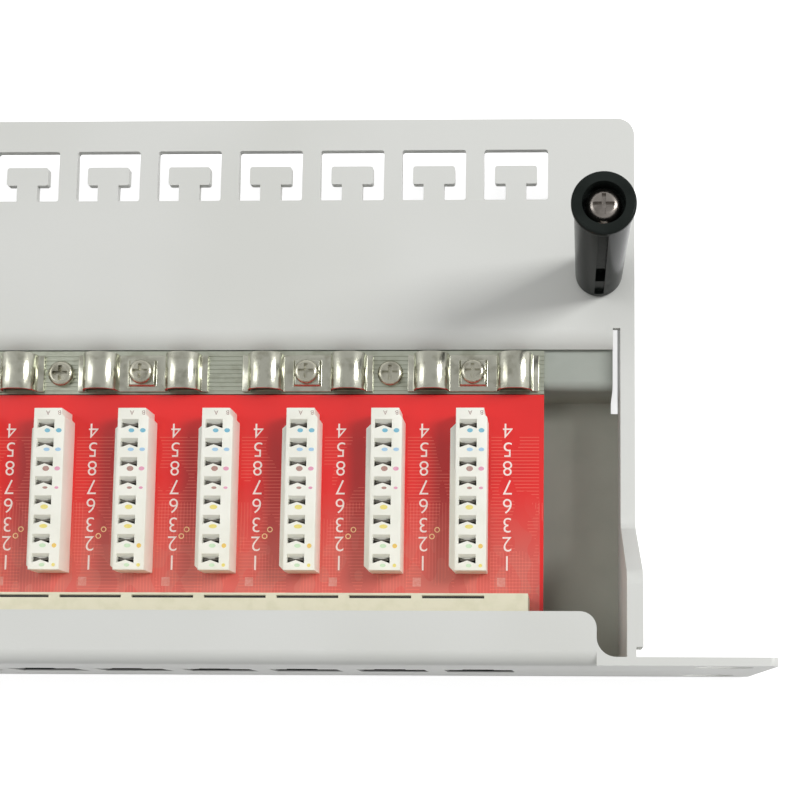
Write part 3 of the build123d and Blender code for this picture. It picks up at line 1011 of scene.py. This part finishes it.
@dataclass
class Printing:
    """The numerals on the boards and the colour marks and letters on the blocks."""

    row: PortRow
    block_top: float = 21.0 * MM
    relief: float = 0.02 * MM
    numeral_height: float = 2.95 * MM
    numeral_offset: float = 7.3 * MM
    letter_height: float = 0.85 * MM
    column_a: float = 0.35 * MM
    column_b: float = 2.55 * MM
    letter_line: float = 49.15 * MM
    mark_drop: float = 1.15 * MM
    order: tuple[int, ...] = (1, 2, 3, 6, 7, 8, 5, 4)

    inks = {
        "white": Ink("ink_white", paint_colour(248, 232, 226)),
        "blue": Ink("ink_blue", paint_colour(118, 186, 208)),
        "sky": Ink("ink_sky", paint_colour(166, 204, 232)),
        "brown": Ink("ink_brown", paint_colour(176, 134, 124)),
        "pink": Ink("ink_pink", paint_colour(230, 160, 186)),
        "yellow": Ink("ink_yellow", paint_colour(238, 222, 120)),
        "amber": Ink("ink_amber", paint_colour(240, 202, 96)),
        "green": Ink("ink_green", paint_colour(206, 232, 196)),
        "grey": Ink("ink_grey", paint_colour(150, 110, 104)),
    }
    marks = (
        Mark(1, "a", "blue", 1.1 * MM, 0.8 * MM), Mark(1, "b", "blue", 1.1 * MM, 0.85 * MM),
        Mark(2, "a", "sky", 1.2 * MM, 0.7 * MM), Mark(2, "b", "sky", 1.1 * MM, 0.7 * MM),
        Mark(3, "a", "brown", 1.3 * MM, 1.0 * MM), Mark(3, "b", "pink", 1.1 * MM, 0.8 * MM),
        Mark(4, "a", "brown", 1.0 * MM, 0.5 * MM), Mark(4, "b", "pink", 0.8 * MM, 0.5 * MM),
        Mark(5, "a", "yellow", 1.5 * MM, 0.9 * MM),
        Mark(6, "a", "yellow", 1.6 * MM, 0.8 * MM),
        Mark(7, "a", "green", 1.3 * MM, 0.8 * MM), Mark(7, "b", "amber", 0.9 * MM, 0.9 * MM),
        Mark(8, "a", "green", 1.1 * MM, 0.7 * MM), Mark(8, "b", "yellow", 0.7 * MM, 0.7 * MM),
    )

    def build(self, bench: Workbench) -> None:
        """Print everything, one piece for each ink and board."""
        self._numerals(bench)
        self._letters(bench)
        self._marks(bench)

    def _numerals(self, bench: Workbench) -> None:
        """Print the numerals beside the blocks, to be read from the rear."""
        material = self.inks["white"].make()
        x, z = self.numeral_offset, self.row.board_top
        pattern = Modeller.join([
            Modeller.lettering(str(digit), self.numeral_height, (x, y, z), self.relief, 180)
            for digit, y in zip(self.order, self.row.slot_lines())
        ])
        self._spread(bench, pattern, "numerals", Slot.SPACER, material)

    def _letters(self, bench: Workbench) -> None:
        """Print the two column letters at the rear end of the blocks."""
        rear = self.row.front_face + self.letter_line
        pattern = Modeller.join([
            Modeller.lettering(letter, self.letter_height, (x, rear, self.block_top), self.relief, 180)
            for letter, x in (("A", self.column_a), ("B", self.column_b))
        ])
        self._spread(bench, pattern, "letters", Slot.SPACER, self.inks["grey"].make())

    def _marks(self, bench: Workbench) -> None:
        """Print the colour marks in front of the slots."""
        lines = self.row.slot_lines()[::-1]
        columns = {"a": self.column_a, "b": self.column_b}
        for ink in sorted({mark.ink for mark in self.marks}):
            spots = []
            for mark in (each for each in self.marks if each.ink == ink):
                bpy.ops.object.select_all(action="DESELECT")
                place = (columns[mark.column], lines[mark.row - 1] - self.mark_drop, self.block_top)
                bpy.ops.mesh.primitive_cylinder_add(
                    vertices=12, radius=0.5, depth=2 * self.relief, location=place,
                    scale=(mark.width, mark.length, 1),
                )
                bpy.ops.object.transform_apply(location=True, rotation=True, scale=True)
                spots.append(bpy.context.object)
            self._spread(bench, Modeller.join(spots), f"marks_{ink}", Slot.SPACER, self.inks[ink].make())

    def _spread(
        self, bench: Workbench, pattern: bpy.types.Object, name: str, slot: Slot,
        material: bpy.types.Material,
    ) -> None:
        """Copy a port's printing to every port and join the copies of each board.

        Args:
            bench: The workbench.
            pattern: The printing at X = 0.
            name: The start of the pieces' names.
            slot: The record's slot of the pieces.
            material: The ink.
        """
        centres = self.row.centres()
        for board in range(self.row.count // self.row.per_board):
            some = centres[board * self.row.per_board:(board + 1) * self.row.per_board]
            piece = Modeller.join([Modeller.copy(pattern, Vector((x, 0, 0))) for x in some])
            bench.adopt(piece, f"{name}_{board + 1}", slot, material)
        bpy.data.objects.remove(pattern, do_unlink=True)


@dataclass
class Studio:
    """The camera, the soft lights, the white surround and the floor."""

    camera_place: tuple[float, float, float] = (204.83 * MM, -67.01 * MM, 293.42 * MM)
    camera_turn: tuple[float, float, float] = (6.412, 1.44, 0.302)
    lens: float = 65.739
    shift: tuple[float, float] = (-0.16, 0.217)
    fill: float = 0.3
    mirror_low: float = 0.95
    mirror_high: float = 0.62
    mirror_fade: tuple[float, float] = (0.35, 0.85)
    floor_size: float = 3.0
    floor_glow: float = 0.8
    lights_aim: tuple[float, float, float] = (0.12, 0, 0)

    def build(self) -> None:
        """Set up everything that isn't part of the panel."""
        self._camera()
        self._surround()
        self._floor()
        self._softbox("right_softbox", (1.05, 0.3, 0.9), (0.35, 0.6), 9.8)
        self._softbox("left_softbox", (-0.9, 0.25, 0.95), (0.5, 0.9), 3.4)
        self._softbox("top_softbox", (-0.1, 0.12, 1.3), (0.9, 0.26), 2.9)
        bpy.context.object.visible_glossy = False
        bpy.context.scene.view_settings.view_transform = "Standard"
        LOG.info("set up the studio")

    def _camera(self) -> None:
        """Place the camera over the right-hand end of the panel."""
        bpy.ops.object.camera_add(
            location=self.camera_place, rotation=[math.radians(turn) for turn in self.camera_turn]
        )
        camera = bpy.context.object
        camera.data.lens = self.lens
        camera.data.shift_x, camera.data.shift_y = self.shift
        camera.data.clip_start = 0.01
        bpy.context.scene.camera = camera

    @staticmethod
    def _seen_directly(tree: bpy.types.NodeTree) -> bpy.types.NodeSocket:
        """Give 1 for rays that show the surround itself: camera, mirror and see-through rays."""
        path = tree.nodes.new("ShaderNodeLightPath")
        result = path.outputs["Is Camera Ray"]
        for name in ("Is Glossy Ray", "Is Transmission Ray"):
            join = tree.nodes.new("ShaderNodeMath")
            join.operation = "MAXIMUM"
            tree.links.new(result, join.inputs[0])
            tree.links.new(path.outputs[name], join.inputs[1])
            result = join.outputs[0]
        return result

    def _surround(self) -> None:
        """Show a white surround and light the panel with a softer one."""
        world = bpy.data.worlds.new("surround")
        bpy.context.scene.world = world
        world.use_nodes = True
        tree = world.node_tree
        tree.nodes.clear()
        shown = tree.nodes.new("ShaderNodeBackground")
        fill = tree.nodes.new("ShaderNodeBackground")
        fill.inputs["Strength"].default_value = self.fill
        for light in (shown, fill):
            light.inputs["Color"].default_value = (1, 1, 1, 1)
        mix = tree.nodes.new("ShaderNodeMixShader")
        out = tree.nodes.new("ShaderNodeOutputWorld")
        tree.links.new(self._seen_directly(tree), mix.inputs[0])
        tree.links.new(fill.outputs[0], mix.inputs[1])
        tree.links.new(shown.outputs[0], mix.inputs[2])
        tree.links.new(mix.outputs[0], out.inputs["Surface"])
        tree.links.new(self._mirror_level(tree), shown.inputs["Strength"])

    def _mirror_level(self, tree: bpy.types.NodeTree) -> bpy.types.NodeSocket:
        """Show white to the camera and, in mirrors, a white wall under a dim ceiling."""
        path = tree.nodes.new("ShaderNodeLightPath")
        place = tree.nodes.new("ShaderNodeTexCoord")
        split = tree.nodes.new("ShaderNodeSeparateXYZ")
        fade = tree.nodes.new("ShaderNodeMapRange")
        white = tree.nodes.new("ShaderNodeMath")
        white.operation = "MAXIMUM"
        levels = (*self.mirror_fade, self.mirror_low, self.mirror_high)
        for name, level in zip(("From Min", "From Max", "To Min", "To Max"), levels):
            fade.inputs[name].default_value = level
        tree.links.new(place.outputs["Generated"], split.inputs[0])
        tree.links.new(split.outputs[2], fade.inputs["Value"])
        tree.links.new(fade.outputs[0], white.inputs[0])
        tree.links.new(path.outputs["Is Camera Ray"], white.inputs[1])
        return white.outputs[0]

    def _floor(self) -> None:
        """Lay a pale floor that looks white and keeps the panel's shadow."""
        bpy.ops.mesh.primitive_plane_add(size=self.floor_size, location=(0, 0, -0.2 * MM))
        floor = bpy.context.object
        floor.name = "floor"
        paint = Paint("floor_paper")
        cloth = paint.node("ShaderNodeBsdfDiffuse", values={"Color": paint_colour(205, 205, 205)})
        glow = paint.node("ShaderNodeEmission", values={"Color": (1, 1, 1, 1)})
        seen = Signal(paint, self._seen_directly(paint.tree))
        paint.tree.links.new((seen * self.floor_glow).socket, glow.socket.node.inputs["Strength"])
        paint.node_output(paint.node("ShaderNodeAddShader", values=[cloth, glow]))
        Workbench.put_on(floor, paint.material)

    def _softbox(
        self, name: str, place: tuple[float, float, float], size: tuple[float, float], power: float
    ) -> None:
        """Hang one soft light that looks at the panel.

        Args:
            name: The light's name.
            place: Where it hangs.
            size: Its width and length.
            power: Its power in watts.
        """
        bpy.ops.object.light_add(type="AREA", location=place)
        light = bpy.context.object
        light.name = name
        light.data.shape = "RECTANGLE"
        light.data.size, light.data.size_y = size
        light.data.energy = power
        aim = Vector(self.lights_aim) - Vector(place)
        light.rotation_euler = aim.to_track_quat("-Z", "Y").to_euler()


def main() -> None:
    """Build the dressed panel and its studio."""
    logging.basicConfig(level=logging.INFO, format="%(name)s: %(message)s")
    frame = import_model()
    bpy.ops.object.select_all(action="DESELECT")
    bench = Workbench(frame)
    Studio().build()
    bench.dress_nodes()
    row = PortRow()
    SheetWork().build(bench)
    PunchBlocks(row).build(bench)
    ShieldClamps().build(bench)
    Vias(row).build(bench)
    Printing(row).build(bench)


if __name__ == "__main__":
    main()
